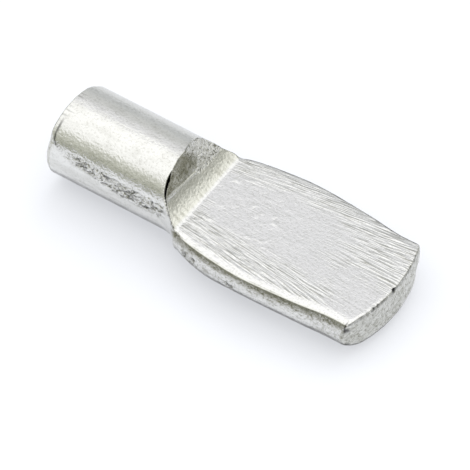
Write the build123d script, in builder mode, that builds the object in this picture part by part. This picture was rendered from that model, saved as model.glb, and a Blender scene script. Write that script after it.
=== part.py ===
"""Shelf support pin: a round shank and a flattened tongue pressed from one length of steel wire.

Millimetres. The pin axis is the X axis, the tongue points to +X, the seat faces +Z.
The origin is on the pin axis at the root of the shoulder. The pin rests on its shank and on the
narrow flat under its tongue, seat up.
"""
from build123d import *
from math import atan2, cos, radians, sin, tan
import os

# Driving dimensions
pin_diameter = 5.0            # wire, and the hole the pin goes in
shank_length = 6.66           # from the shoulder to the middle of the cropped end
crop_yaw = 4.3                # degrees the cropped end leans back on the far side
crop_tilt = 1.7               # degrees it leans back at the top
crop_roll = 0.18              # soft rim that the cropping leaves round the end

throat_x = 0.60               # the wire is still nearly round here
throat_spread = 0.09          # how far each side has been pushed out at the throat
throat_edge = 24.0            # degrees up the side to the start of the seat edge
flare_x = 1.02
flare_spread = 0.30
flare_edge = 13.0
flare_waist = 0.04            # how far the wire is drawn thin behind the anvil
shank_edge = 32.0             # the same at the shoulder, where the shank ends
crease_x = 1.38               # foot of the ramp, where the flat seat begins
root_x = 2.2                  # stations along the tongue
swell_x = 3.6
widest_x = 5.7
fore_x = 8.9
neck_x = 11.0
tip_x = 12.52                 # middle of the curved tip

crease_half = 2.93            # half widths at the seat edge, one per station
root_half = 3.18
swell_half = 3.41
widest_half = 3.58
fore_half = 3.38
neck_half = 3.16
tip_half = 3.19

crease_bow = 1.22             # how far the underside would bow below the bulged sides
root_bow = 0.95
swell_bow = 0.73
widest_bow = 1.00
fore_bow = 0.46
neck_bow = 0.10
edge_lean = 37.0              # degrees the side leans back where it meets the seat edge

seat_z = 0.21                 # seat above the pin axis
margin_drop = 0.08            # how far the long edges of the seat are rolled down
seat_crown = 0.26             # crown the wire would keep above the seat without the punch
crease_crown = 0.80           # the same at the foot of the ramp

anvil_bite = 0.10             # bow that the anvil has pressed flat, level with the shank
fore_rise = 0.30              # how far the bow has risen at the fore station
belly_rise = 0.40             # how far it has risen at the tip

wall_lean = 16.7              # degrees the steep wall of the shoulder leans out to its foot
ramp_angle = 45.0             # degrees of the ramp between the wall and the seat
valley_round = 0.90           # soft valley that the punch leaves between wall and ramp
crease_round = 0.35           # nose of the punch, left where the ramp meets the seat

tip_radius = 8.6              # curve of the tip in plan
tip_skew = 1.2                # degrees the tip was cut out of square
tip_roll = 0.50               # rolled lower edge that the cut leaves
nose_length = 0.75            # how far that edge reaches back under the tongue
nose_angle = 25.0             # degrees it slopes up on its way to the tip

# Derived
pin_r = pin_diameter / 2
trim = pin_r / 4              # how far the blank reaches past the tip before it is cut
edge_z = seat_z - margin_drop
clear = pin_diameter          # how far the tools and the untrimmed blank reach past the metal
reach = tip_x + trim
lean = tan(radians(wall_lean))
slope = tan(radians(ramp_angle))
foot_x = lean * (pin_r - seat_z - slope * crease_x) / (1 - lean * slope)
foot_z = seat_z + slope * (crease_x - foot_x)
slices = 11                   # sections that carry the tongue from the crease to the tip
tip_centre_x = tip_x - tip_radius * cos(radians(tip_skew))
tip_centre_y = tip_radius * sin(radians(tip_skew))
nose_slope = tan(radians(nose_angle))
nose_z = belly_rise - anvil_bite - pin_r + nose_length * nose_slope

stations = (crease_x, root_x, swell_x, widest_x, fore_x, neck_x, reach)
halves = (crease_half, root_half, swell_half, widest_half, fore_half, neck_half, tip_half)
bows = (crease_bow, root_bow, swell_bow, widest_bow, fore_bow, neck_bow, neck_bow)
crowns = (crease_crown,) + (seat_crown + margin_drop,) * 6
rises = (0, 0, 0, 0, fore_rise, belly_rise, belly_rise)


def along(x, values):
    """Height at x of a smooth curve through the values at the stations, with no overshoot."""
    slopes = [(values[i + 1] - values[i]) / (stations[i + 1] - stations[i])
              for i in range(len(stations) - 1)]
    knots = [slopes[0]]
    for before, after in zip(slopes, slopes[1:]):
        knots.append(2 * before * after / (before + after) if before * after > 0 else 0)
    knots.append(slopes[-1])
    k = max(i for i in range(len(slopes)) if stations[i] <= x)
    span = stations[k + 1] - stations[k]
    u = (x - stations[k]) / span
    keep = (1 + 2 * u) * (1 - u) ** 2
    bend = span * u * (1 - u) * (knots[k] * (1 - u) - knots[k + 1] * u)
    return values[k] * keep + values[k + 1] * (1 - keep) + bend


def outline(x, edge, crown_z, bulge, join, belly_z):
    """Face across the wire at x: crown, two bulged sides and underside, each one arc."""
    with BuildSketch(Plane.YZ.offset(x)) as face:
        with BuildLine():
            ThreePointArc((-edge[0], edge[1]), (0, crown_z), edge)
            ThreePointArc(edge, bulge, join)
            ThreePointArc(join, (0, belly_z), (-join[0], join[1]))
            ThreePointArc((-join[0], join[1]), (-bulge[0], bulge[1]), (-edge[0], edge[1]))
        make_face()
    return face.sketch


def round_section(x, spread, edge_angle, waist=0):
    """Wire that is still nearly round, split into the same four arcs as the tongue."""
    side_angle, join_angle = -15, -60

    def at(angle):
        return ((pin_r + spread) * cos(radians(angle)), pin_r * sin(radians(angle)))
    return outline(x, at(edge_angle), pin_r, at(side_angle), at(join_angle), waist - pin_r)


def tongue_section(x):
    """Pressed wire at x. The underside arc runs smoothly into both side arcs."""
    half = along(x, halves)
    belly_z = along(x, rises) - anvil_bite - pin_r
    side_r = (edge_z - belly_z - along(x, bows)) / (1 + sin(radians(edge_lean)))
    centre_y = half - side_r * cos(radians(edge_lean))
    centre_z = edge_z - side_r * sin(radians(edge_lean))
    low = belly_z + side_r
    belly_centre = (low ** 2 - centre_y ** 2 - centre_z ** 2) / (2 * (low - centre_z))
    fall = -atan2(belly_centre - centre_z, centre_y)
    turn = (radians(edge_lean) + fall) / 2

    def at(angle):
        return (centre_y + side_r * cos(angle), centre_z + side_r * sin(angle))
    return outline(x, (half, edge_z), edge_z + along(x, crowns), at(turn), at(fall), belly_z)


# The punch that presses the seat: a steep wall, a ramp and the flat, straight across the wire
with BuildPart() as punch:
    with BuildSketch(Plane.XZ):
        with BuildLine():
            Polyline((crease_x - clear / slope, seat_z + clear), (crease_x, seat_z),
                     (reach + clear, seat_z), (reach + clear, seat_z + clear),
                     (crease_x - clear / slope, seat_z + clear))
        make_face()
    extrude(amount=2 * clear, both=True)
    split(bisect_by=Plane(origin=(0, 0, pin_r), z_dir=(1, 0, lean)), keep=Keep.TOP)
    fillet(punch.edges().sort_by_distance((foot_x, 0, foot_z))[0], radius=valley_round)
    fillet(punch.edges().sort_by_distance((crease_x, 0, seat_z))[0], radius=crease_round)

# The die that crops the tip to a shallow curve, upright above and rolled under below
with BuildPart() as tip_die:
    with BuildSketch(Plane.XY):
        with Locations((tip_x, 0)):
            Rectangle(clear, 4 * clear)
    extrude(amount=2 * clear, both=True)
    with BuildSketch(Plane.XZ.offset(-tip_centre_y)) as profile:
        with BuildLine():
            Polyline((tip_centre_x, 3 * clear), (tip_centre_x + tip_radius, 3 * clear),
                     (tip_centre_x + tip_radius, nose_z),
                     (tip_centre_x, nose_z - tip_radius * nose_slope),
                     (tip_centre_x, 3 * clear))
        make_face()
        fillet(profile.vertices().group_by(Axis.X)[-1].sort_by(Axis.Z)[0], radius=tip_roll)
    revolve(axis=Axis((tip_centre_x, tip_centre_y, 0), (0, 0, 1)), mode=Mode.SUBTRACT)

# The pin
with BuildPart() as shelf_pin:
    # round shank, cropped a little out of square, with the soft rim of a cropped wire
    with BuildSketch(Plane.YZ):
        Circle(pin_r)
    extrude(amount=-(shank_length + clear))
    crop = Plane(origin=(-shank_length, 0, 0),
                 z_dir=(-1, tan(radians(crop_yaw)), tan(radians(crop_tilt))))
    split(bisect_by=crop, keep=Keep.BOTTOM)
    fillet(shelf_pin.edges().sort_by(Axis.X)[0], radius=crop_roll)

    # throat and tongue: the wire spread sideways between the dies
    loft(sections=[round_section(0, 0, shank_edge),
                   round_section(throat_x, throat_spread, throat_edge),
                   round_section(flare_x, flare_spread, flare_edge, flare_waist),
                   tongue_section(crease_x)],
         ruled=True)
    pitch = (reach - crease_x) / slices
    loft(sections=[tongue_section(crease_x + pitch * i) for i in range(slices + 1)])

    # narrow flat that the anvil leaves under the tongue, which the pin lies on
    with BuildSketch(Plane.XY.offset(-pin_r)):
        with Locations(((flare_x + reach) / 2, 0)):
            Rectangle(reach - flare_x, 4 * clear)
    extrude(amount=-clear, mode=Mode.SUBTRACT)

    # wall, ramp and flat seat, pressed in by the punch
    add(punch.part, mode=Mode.SUBTRACT)

    # curved tip
    add(tip_die.part, mode=Mode.SUBTRACT)

shelf_pin.part.label = "shelf_pin"
os.makedirs("parts", exist_ok=True)
export_step(shelf_pin.part, "parts/shelf_pin.step")
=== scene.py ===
"""Looks of a nickel plated shelf support pin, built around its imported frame.

The pin is one length of steel wire: a round shank, a shoulder where the punch bit into it, and a
tongue pressed flat. The frame holds its form and real size. This script gives it the skin of the
real one: the marks of drawing, cropping and pressing as relief in one fine mesh, and the plating
as a material for each kind of surface.

The form is worked out in millimetres and becomes metres when a mesh is made. +X runs along the
tongue, +Z faces out of the seat, and the origin is on the pin axis at the root of the shoulder.
"""
import logging
import math
from abc import ABC, abstractmethod
from dataclasses import dataclass, field
from enum import Enum

import bpy
import numpy as np
from mathutils import Matrix, Vector


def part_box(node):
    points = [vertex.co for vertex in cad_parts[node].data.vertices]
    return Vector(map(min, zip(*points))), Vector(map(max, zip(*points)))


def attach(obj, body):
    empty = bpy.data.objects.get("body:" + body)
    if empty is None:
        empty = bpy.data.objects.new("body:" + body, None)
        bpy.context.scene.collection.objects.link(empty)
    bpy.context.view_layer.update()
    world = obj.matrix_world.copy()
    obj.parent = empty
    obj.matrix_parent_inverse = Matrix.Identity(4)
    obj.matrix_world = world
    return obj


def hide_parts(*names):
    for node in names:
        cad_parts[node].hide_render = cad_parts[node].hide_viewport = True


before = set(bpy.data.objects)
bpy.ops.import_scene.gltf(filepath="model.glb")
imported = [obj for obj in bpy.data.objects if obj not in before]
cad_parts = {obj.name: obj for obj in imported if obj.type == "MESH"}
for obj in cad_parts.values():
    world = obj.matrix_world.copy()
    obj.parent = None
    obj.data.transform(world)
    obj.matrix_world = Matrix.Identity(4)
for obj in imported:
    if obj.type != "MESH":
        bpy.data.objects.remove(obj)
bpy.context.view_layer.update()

MM = 0.001
# The first mask is black painted shade; the second mixes random tarnish with olive painted shade
MASKS = ("painted_shade", "tarnish_and_shade", "dull", "lined", "torn")
log = logging.getLogger("shelf_pin")


# Small helpers for heights and curves

def smooth_step(low: float, high: float, value: np.ndarray) -> np.ndarray:
    """Share from 0 at low to 1 at high, with soft ends. High may be less than low."""
    share = np.clip((value - low) / (high - low), 0.0, 1.0)
    return share * share * (3.0 - 2.0 * share)


def soft_min(a: np.ndarray, b: np.ndarray, blend: float) -> np.ndarray:
    """Lower of two heights, rounded where they are less than the blend apart."""
    share = np.clip(0.5 + 0.5 * (b - a) / blend, 0.0, 1.0)
    return b * (1.0 - share) + a * share - blend * share * (1.0 - share)


def soft_max(a: np.ndarray, b: np.ndarray, blend: float) -> np.ndarray:
    """Upper of two heights, rounded as soft_min rounds the lower."""
    return -soft_min(-a, -b, blend)


def ridge(field_values: np.ndarray, width: float | np.ndarray) -> np.ndarray:
    """Share that is 1 where a field crosses 0 and has faded where it reaches the width."""
    return np.clip(1.0 - np.abs(field_values) / width, 0.0, 1.0)


def on_plane(a: np.ndarray, b: np.ndarray) -> np.ndarray:
    """Points with two coordinates, for a grain that stays the same along the third."""
    return np.stack([a, b, np.zeros_like(a)], axis=-1)


def angle_up(y: np.ndarray, z: np.ndarray) -> np.ndarray:
    """Degrees round the axis, 0 on the near side, 90 on the crown and -90 underneath."""
    return np.degrees(np.arctan2(z, -y))


def arc_points(start: tuple, middle: tuple, end: tuple, shares: np.ndarray) -> np.ndarray:
    """Points along the circular arc through three points.

    Args:
        start: first point, (y, z).
        middle: a point that the arc passes.
        end: last point.
        shares: places along the arc, from 0 to 1.

    Returns:
        One (y, z) row for each share.
    """
    (ay, az), (by, bz), (cy, cz) = start, middle, end
    a2, b2, c2 = ay * ay + az * az, by * by + bz * bz, cy * cy + cz * cz
    twice = 2.0 * (ay * (bz - cz) + by * (cz - az) + cy * (az - bz))
    oy = (a2 * (bz - cz) + b2 * (cz - az) + c2 * (az - bz)) / twice
    oz = (a2 * (cy - by) + b2 * (ay - cy) + c2 * (by - ay)) / twice
    first = math.atan2(az - oz, ay - oy)
    via = (math.atan2(bz - oz, by - oy) - first) % math.tau
    turn = (math.atan2(cz - oz, cy - oy) - first) % math.tau
    if via > turn:
        turn -= math.tau
    angles = first + turn * shares
    radius = math.hypot(ay - oy, az - oz)
    return np.stack([oy + radius * np.cos(angles), oz + radius * np.sin(angles)], axis=1)


@dataclass(frozen=True)
class Grain:
    """Smooth random field that is the same on each run.

    Attributes:
        seed: number that picks the field.
        size: length of one swell along each of the three coordinates, in millimetres.
        octaves: how many swells are added, each half as long as the one before.
        cells: swells along each coordinate before the field repeats.
        offset: swells between the origin and the corner of the field.
        gain: how far the field is stretched, to fill the range from -1 to 1.
    """

    seed: int
    size: tuple[float, float, float]
    octaves: int = 1
    cells: int = 64
    offset: float = 17.3
    gain: float = 1.5

    def at(self, points: np.ndarray) -> np.ndarray:
        """Value of the field, mostly between -1 and 1.

        Args:
            points: array whose last axis holds three coordinates.

        Returns:
            One number for each point.
        """
        lattice = np.random.default_rng(self.seed).uniform(-1.0, 1.0, (self.cells,) * 3)
        total = np.zeros(points.shape[:-1])
        weight, scale, reach = 1.0, 1.0, 0.0
        for _ in range(self.octaves):
            place = points / np.array(self.size) * scale + self.offset
            base = np.floor(place).astype(int)
            part = place - base
            part = part * part * (3.0 - 2.0 * part)
            value = np.zeros_like(total)
            for corner in range(8):
                step = np.array([corner & 1, corner >> 1 & 1, corner >> 2 & 1])
                share = np.prod(np.where(step == 1, part, 1.0 - part), axis=-1)
                cell = (base + step) % self.cells
                value += share * lattice[cell[..., 0], cell[..., 1], cell[..., 2]]
            total += value * weight
            reach += weight
            weight *= 0.5
            scale *= 2.0
        return total / reach * self.gain


# Form of the pin

@dataclass(frozen=True)
class Station:
    """Sizes of the pressed wire at one place along the tongue.

    Attributes:
        x: place along the pin.
        half: half width at the seat edge.
        bow: how far the underside bows below the bulged sides.
        rise: how far the underside has risen.
        crown: crown that the wire would keep above the seat edge without the punch.
    """

    x: float
    half: float
    bow: float
    rise: float
    crown: float


class Zone(Enum):
    """Kinds of surface on the pin, each with a finish of its own."""

    DRAWN = 0
    PRESSED = 1
    SHEARED = 2


@dataclass
class PinForm:
    """Form of the pin, with the same sizes as its frame, in millimetres and degrees.

    Attributes:
        wire_r: radius of the wire.
        shank_length: from the shoulder to the middle of the cropped end.
        crop_yaw: how far the cropped end leans back on the far side.
        crop_tilt: how far it leans back at the top.
        throat_x: where the wire is still nearly round.
        throat_spread: how far each side has been pushed out there.
        throat_edge: angle up the side to the start of the seat edge there.
        flare_x: where the sides have begun to flare.
        flare_spread: how far each side has been pushed out there.
        flare_edge: angle up the side to the start of the seat edge there.
        shank_edge: the same angle at the shoulder.
        side_angle: angle of the point that each side arc passes where the wire is round.
        join_angle: angle at which it meets the underside.
        edge_lean: how far the side leans back where it meets the seat edge.
        seat_z: seat above the pin axis.
        margin_drop: how far the long edges of the seat are rolled down.
        anvil_bite: bow that the anvil has pressed flat, level with the shank.
        wall_foot_x: foot of the shoulder's wall.
        wall_foot_z: height of that foot on the near side.
        wall_lean: how far the wall leans out to its foot.
        wall_sweep: how far its far side is swept back.
        wall_blend: height over which the wall runs into the ramp.
        ramp_foot: slope of the ramp where it meets the seat.
        ramp_crown: how much higher the ramp is in the middle, as a share.
        ramp_half: half of the width of that crown.
        crease_x: where the ramp meets the seat.
        crease_blend: height over which it runs into the seat.
        flow_spread: how fast the lines of flow fan out, for each millimetre along the seat.
        flow_x: where a line of flow lies as far from the middle as its lane says.
        tip_x: middle of the curved tip.
        tip_radius: radius of that curve.
        tip_skew: how far the tip is out of square.
        stations: sizes along the tongue.
    """

    wire_r: float = 2.5
    shank_length: float = 6.66
    crop_yaw: float = 4.3
    crop_tilt: float = 1.7
    throat_x: float = 0.60
    throat_spread: float = 0.09
    throat_edge: float = 24.0
    flare_x: float = 1.02
    flare_spread: float = 0.30
    flare_edge: float = 13.0
    shank_edge: float = 32.0
    side_angle: float = -15.0
    join_angle: float = -60.0
    edge_lean: float = 37.0
    seat_z: float = 0.21
    margin_drop: float = 0.08
    anvil_bite: float = 0.10
    wall_foot_x: float = 0.36
    wall_foot_z: float = 1.25
    wall_lean: float = 16.7
    wall_sweep: float = 0.17
    wall_blend: float = 0.38
    ramp_foot: float = 0.74
    ramp_crown: float = 0.06
    ramp_half: float = 2.9
    crease_x: float = 1.38
    crease_blend: float = 0.09
    flow_spread: float = 0.05
    flow_x: float = 4.0
    tip_x: float = 12.52
    tip_radius: float = 8.6
    tip_skew: float = 1.2
    stations: tuple[Station, ...] = (
        Station(1.38, 2.93, 1.22, 0.0, 0.80),
        Station(2.20, 3.18, 0.95, 0.0, 0.34),
        Station(3.60, 3.41, 0.73, 0.0, 0.34),
        Station(5.70, 3.58, 1.00, 0.0, 0.34),
        Station(8.90, 3.38, 0.46, 0.30, 0.34),
        Station(11.0, 3.16, 0.10, 0.40, 0.34),
        Station(13.2, 3.19, 0.10, 0.40, 0.34),
    )

    @property
    def edge_z(self) -> float:
        """Height of the seat's rolled edge."""
        return self.seat_z - self.margin_drop

    def along(self, x: float, size: str) -> float:
        """Smooth curve through one size of the stations, with no overshoot.

        Args:
            x: place along the pin.
            size: name of the station's field.

        Returns:
            The size at x.
        """
        places = [s.x for s in self.stations]
        values = [getattr(s, size) for s in self.stations]
        count = len(places) - 1
        slopes = [(values[i + 1] - values[i]) / (places[i + 1] - places[i]) for i in range(count)]
        knots = [slopes[0]]
        for before, after in zip(slopes, slopes[1:]):
            knots.append(2 * before * after / (before + after) if before * after > 0 else 0.0)
        knots.append(slopes[-1])
        k = max(i for i in range(count) if i == 0 or places[i] <= x)
        span = places[k + 1] - places[k]
        u = (x - places[k]) / span
        keep = (1 + 2 * u) * (1 - u) ** 2
        bend = span * u * (1 - u) * (knots[k] * (1 - u) - knots[k + 1] * u)
        return values[k] * keep + values[k + 1] * (1 - keep) + bend

    def four_arcs(self, edge: tuple, crown_z: float, bulge: tuple, join: tuple, belly_z: float,
                  shares: list[np.ndarray]) -> np.ndarray:
        """Outline of the wire as crown, far side, underside and near side.

        Args:
            edge: (y, z) of the far seat edge.
            crown_z: height of the crown.
            bulge: a point on the far side.
            join: where the far side meets the underside.
            belly_z: height of the underside.
            shares: places along each of the four arcs.

        Returns:
            One (y, z) row for each column of the skin, from the near seat edge over the crown.
        """
        def near(point: tuple) -> tuple:
            """Same point on the near side."""
            return (-point[0], point[1])
        return np.concatenate([
            arc_points(near(edge), (0.0, crown_z), edge, shares[0]),
            arc_points(edge, bulge, join, shares[1]),
            arc_points(join, (0.0, belly_z), near(join), shares[2]),
            arc_points(near(join), near(bulge), near(edge), shares[3])])

    def round_outline(self, spread: float, edge_angle: float, shares: list) -> np.ndarray:
        """Outline where the wire is round or nearly so.

        Args:
            spread: how far each side has been pushed out.
            edge_angle: degrees up the side to the start of the seat edge.
            shares: places along each of the four arcs.

        Returns:
            One (y, z) row for each column of the skin.
        """
        def at(angle: float) -> tuple:
            """Point of the outline at that angle above the far side."""
            turn = math.radians(angle)
            return ((self.wire_r + spread) * math.cos(turn), self.wire_r * math.sin(turn))
        return self.four_arcs(at(edge_angle), self.wire_r, at(self.side_angle),
                              at(self.join_angle), -self.wire_r, shares)

    def tongue_outline(self, x: float, shares: list) -> np.ndarray:
        """Outline of the pressed wire, before the punch has cut the seat.

        Args:
            x: place along the pin.
            shares: places along each of the four arcs.

        Returns:
            One (y, z) row for each column of the skin.
        """
        lean = math.radians(self.edge_lean)
        half = self.along(x, "half")
        belly_z = self.along(x, "rise") - self.anvil_bite - self.wire_r
        side_r = (self.edge_z - belly_z - self.along(x, "bow")) / (1 + math.sin(lean))
        centre_y = half - side_r * math.cos(lean)
        centre_z = self.edge_z - side_r * math.sin(lean)
        low = belly_z + side_r
        belly_centre = (low ** 2 - centre_y ** 2 - centre_z ** 2) / (2 * (low - centre_z))
        fall = -math.atan2(belly_centre - centre_z, centre_y)

        def at(angle: float) -> tuple:
            """Point of the far side's arc at that angle, in radians."""
            return (centre_y + side_r * math.cos(angle), centre_z + side_r * math.sin(angle))
        return self.four_arcs((half, self.edge_z), self.edge_z + self.along(x, "crown"),
                              at((lean + fall) / 2), at(fall), belly_z, shares)

    def crop_plane(self, y: np.ndarray, z: np.ndarray) -> np.ndarray:
        """Place along the pin of the cropped face."""
        yaw, tilt = math.radians(self.crop_yaw), math.radians(self.crop_tilt)
        return -self.shank_length + math.tan(yaw) * y + math.tan(tilt) * z

    def tip_curve(self, y: np.ndarray) -> np.ndarray:
        """Face of the curved tip.

        Args:
            y: places across the pin.

        Returns:
            The place along the pin of the face there.
        """
        skew = math.radians(self.tip_skew)
        centre_x = self.tip_x - self.tip_radius * math.cos(skew)
        centre_y = self.tip_radius * math.sin(skew)
        return centre_x + np.sqrt(self.tip_radius ** 2 - (y - centre_y) ** 2)

    def flow_lane(self, x: np.ndarray, y: np.ndarray) -> np.ndarray:
        """Line of flow that each point lies on. The lines fan out along the tongue."""
        return y * np.exp(-self.flow_spread * (x - self.flow_x))

    def punch_height(self, x: np.ndarray, y: np.ndarray) -> np.ndarray:
        """Height that the punch leaves: wall, ramp and flat, with the rounded nose between them.

        Args:
            x: places along the pin.
            y: places across it.

        Returns:
            The greatest height that the metal keeps there.
        """
        sweep = self.wall_sweep * np.clip(y / 0.8, 0.0, 2.4) ** 1.4
        steep = 1.0 / math.tan(math.radians(self.wall_lean))
        wall = self.wall_foot_z + (self.wall_foot_x - sweep - x) * steep
        climb = self.crease_x - x
        bulge = 1.0 + self.ramp_crown * np.clip(1.0 - (y / self.ramp_half) ** 2, 0.0, 1.0)
        slope = self.ramp_foot + (1.0 - self.ramp_foot) * 0.95 * np.maximum(climb, 0.0)
        ramp = self.seat_z + climb * slope * bulge
        shoulder = soft_max(ramp, wall, self.wall_blend)
        return soft_max(shoulder, np.full_like(x, self.seat_z), self.crease_blend)


@dataclass
class Skin:
    """Fine grid of the pin's surface, with what the relief and the finish need to know.

    Attributes:
        points: rows along the pin by columns around it by (x, y, z), in millimetres.
        zones: kind of surface of each point.
        cap_rows: number of rows on the flat of the cropped end and on that of the tip.
        top_columns: number of columns across the seat.
        painted_shade: how dark the painted shade is at each point, in folds, pits, nicks and along
            edges, from 0 to 1.
        tarnish_and_shade: how far the plate is dimmed at each point, from 0 to 1, by random tarnish and
            by painted shade.
        dull: how rough the relief leaves each point, from 0 to 1.
        lined: how strong the hairlines are at each point, from 0 to 1.
        torn: how far the skin is torn at each point, from 0 to 1.
    """

    points: np.ndarray
    zones: np.ndarray
    cap_rows: tuple[int, int]
    top_columns: int
    painted_shade: np.ndarray = field(init=False)
    tarnish_and_shade: np.ndarray = field(init=False)
    dull: np.ndarray = field(init=False)
    lined: np.ndarray = field(init=False)
    torn: np.ndarray = field(init=False)

    def __post_init__(self) -> None:
        """Starts with clean metal."""
        for mask in MASKS:
            setattr(self, mask, np.zeros(self.points.shape[:2]))

    def in_zone(self, zone: Zone) -> np.ndarray:
        """Which points lie on that kind of surface."""
        return self.zones == zone.value

    def angles(self) -> np.ndarray:
        """Degrees of each point round the axis, as angle_up gives them."""
        return angle_up(self.points[..., 1], self.points[..., 2])

    def raise_mask(self, mask: str, values: np.ndarray) -> None:
        """Lifts the named mask to the values where they are higher, between 0 and 1."""
        setattr(self, mask, np.maximum(getattr(self, mask), np.clip(values, 0.0, 1.0)))

    def normals(self) -> np.ndarray:
        """Outward direction at each point, from its neighbours in the grid.

        Returns:
            Rows by columns by unit vectors.
        """
        p = self.points
        around = np.roll(p, -1, axis=1) - np.roll(p, 1, axis=1)
        down = np.empty_like(p)
        down[1:-1] = p[2:] - p[:-2]
        down[0], down[-1] = p[1] - p[0], p[-1] - p[-2]
        normal = np.cross(down, around)
        crop, tip = self.cap_rows
        normal[:crop] = (-1.0, 0.0, 0.0)
        normal[-tip:] = (1.0, 0.0, 0.0)
        length = np.linalg.norm(normal, axis=-1, keepdims=True)
        return normal / np.maximum(length, 1e-9)

    def push(self, height: np.ndarray) -> None:
        """Moves each point out along its normal by that height, in millimetres."""
        self.points = self.points + self.normals() * height[..., None]


@dataclass
class SkinBuilder:
    """Lays the fine grid over the form.

    Attributes:
        form: the form to cover.
        top_columns: columns across the seat.
        crowding: how far these crowd towards the long edges.
        side_columns: columns down the near and the far side.
        belly_columns: columns across the underside.
        edge_rows: rows that round the rim of each end.
        crop_rows: rows from the rim to the middle of the cropped end.
        tip_rows: rows from the rim to the middle of the tip.
        row_borders: places along the pin where the rows' pitch changes.
        row_pitches: pitch of the rows between these, from the cropped end to the tip.
        shank_knots: places of the round outlines that carry the shank.
        tongue_knots: number of outlines that carry the tongue.
        crop_rim: radius of the crop's rim at its sharpest, and what it gains where it is soft.
        tip_rim: radius of the tip's rim at its sharpest, and what it gains where it is rolled.
        crop_lead: place from which the rows lean towards the cropped end.
        tip_lead: place from which they curve towards the tip.
        rim_x: place whose outline gives the rim of the tip.
        punch_blend: height over which the pressed faces break into the sides.
        anvil_blend: height over which the anvil's flat runs into the underside.
    """

    form: PinForm
    top_columns: int = 116
    crowding: float = 0.4
    side_columns: tuple[int, int] = (64, 16)
    belly_columns: int = 20
    edge_rows: int = 6
    crop_rows: int = 14
    tip_rows: int = 24
    row_borders: tuple[float, ...] = (-0.45, 0.80, 1.70, 11.6)
    row_pitches: tuple[float, ...] = (0.060, 0.018, 0.030, 0.062, 0.045)
    shank_knots: tuple[float, ...] = (-9.0, -1.0, -0.45, 0.05)
    tongue_knots: int = 36
    crop_rim: tuple[float, float] = (0.055, 0.25)
    tip_rim: tuple[float, float] = (0.035, 0.36)
    crop_lead: float = -5.4
    tip_lead: float = 8.6
    rim_x: float = 12.2
    punch_blend: float = 0.035
    anvil_blend: float = 0.02

    def shares(self) -> list[np.ndarray]:
        """Places of the columns along the crown, far side, underside and near side.

        Returns:
            One array of places from 0 to 1 for each of the four arcs.
        """
        near, far = self.side_columns
        top, *rest = (np.arange(n) / n for n in (self.top_columns, far, self.belly_columns, near))
        turn = 2.0 * math.pi
        return [top - self.crowding * np.sin(turn * top) / turn, *rest]

    def rows(self) -> np.ndarray:
        """Places of the rows along the pin, close together where the wall is steep.

        Returns:
            The places, from the cropped end to the tip.
        """
        borders = (-self.form.shank_length, *self.row_borders, self.form.tip_x)
        parts = [np.linspace(a, b, round((b - a) / pitch), endpoint=False)
                 for a, b, pitch in zip(borders, borders[1:], self.row_pitches)]
        return np.append(np.concatenate(parts), self.form.tip_x)

    def knots(self, shares: list[np.ndarray]) -> tuple[np.ndarray, np.ndarray]:
        """Outlines at a few places along the pin, which the rows run smoothly through.

        Args:
            shares: places of the columns.

        Returns:
            The places, and one outline for each.
        """
        form = self.form
        wire = form.round_outline(0.0, form.shank_edge, shares)
        places = [*self.shank_knots, form.throat_x, form.flare_x]
        outlines = [wire for _ in self.shank_knots]
        outlines.append(form.round_outline(form.throat_spread, form.throat_edge, shares))
        outlines.append(form.round_outline(form.flare_spread, form.flare_edge, shares))
        for x in np.linspace(form.crease_x, form.stations[-1].x, self.tongue_knots):
            places.append(float(x))
            outlines.append(form.tongue_outline(float(x), shares))
        return np.array(places), np.stack(outlines)

    def outline_at(self, x: np.ndarray, places: np.ndarray, outlines: np.ndarray) -> np.ndarray:
        """Points of the columns at a place of their own each.

        Args:
            x: rows by columns of places along the pin.
            places: places of the knots.
            outlines: outlines of the knots.

        Returns:
            Rows by columns by (y, z).
        """
        slopes = np.gradient(outlines, places, axis=0)
        slopes[:len(self.shank_knots)] = 0.0  # the shank is straight
        k = np.clip(np.searchsorted(places, x, side="right") - 1, 0, len(places) - 2)
        columns = np.arange(x.shape[1])[None, :]
        span = places[k + 1] - places[k]
        u = ((x - places[k]) / span)[..., None]
        span = span[..., None]
        a, b = outlines[k, columns], outlines[k + 1, columns]
        da, db = slopes[k, columns] * span, slopes[k + 1, columns] * span
        return (a * (1 + 2 * u) * (1 - u) ** 2 + b * u * u * (3 - 2 * u)
                + da * u * (1 - u) ** 2 - db * u * u * (1 - u))

    def rim_radii(self, tip: np.ndarray, wire: np.ndarray) -> tuple[np.ndarray, np.ndarray]:
        """How far the rim is rounded at each column, at the tip and at the cropped end.

        Args:
            tip: outline at the tip.
            wire: outline of the shank.

        Returns:
            Radii at the tip, and radii at the cropped end.
        """
        y, z = tip[:, 0], tip[:, 1]
        low = smooth_step(-0.9, -1.75, z)
        near = smooth_step(-2.9, -3.15, y) * smooth_step(0.12, -0.25, z)
        far = smooth_step(2.95, 3.25, y)
        sharp, gain = self.tip_rim
        tip_r = sharp + gain * np.maximum(low, np.maximum(near * 0.40, far * 0.25))
        angle = angle_up(wire[:, 0], wire[:, 1])
        lower = smooth_step(43.0, 27.0, np.abs(angle))
        under = smooth_step(-20.0, -40.0, angle)
        back = smooth_step(110.0, 135.0, angle)
        sharp, gain = self.crop_rim
        crop_r = sharp + gain * np.maximum(lower, np.maximum(under * 0.8, back * 0.7))
        return tip_r, crop_r

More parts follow.
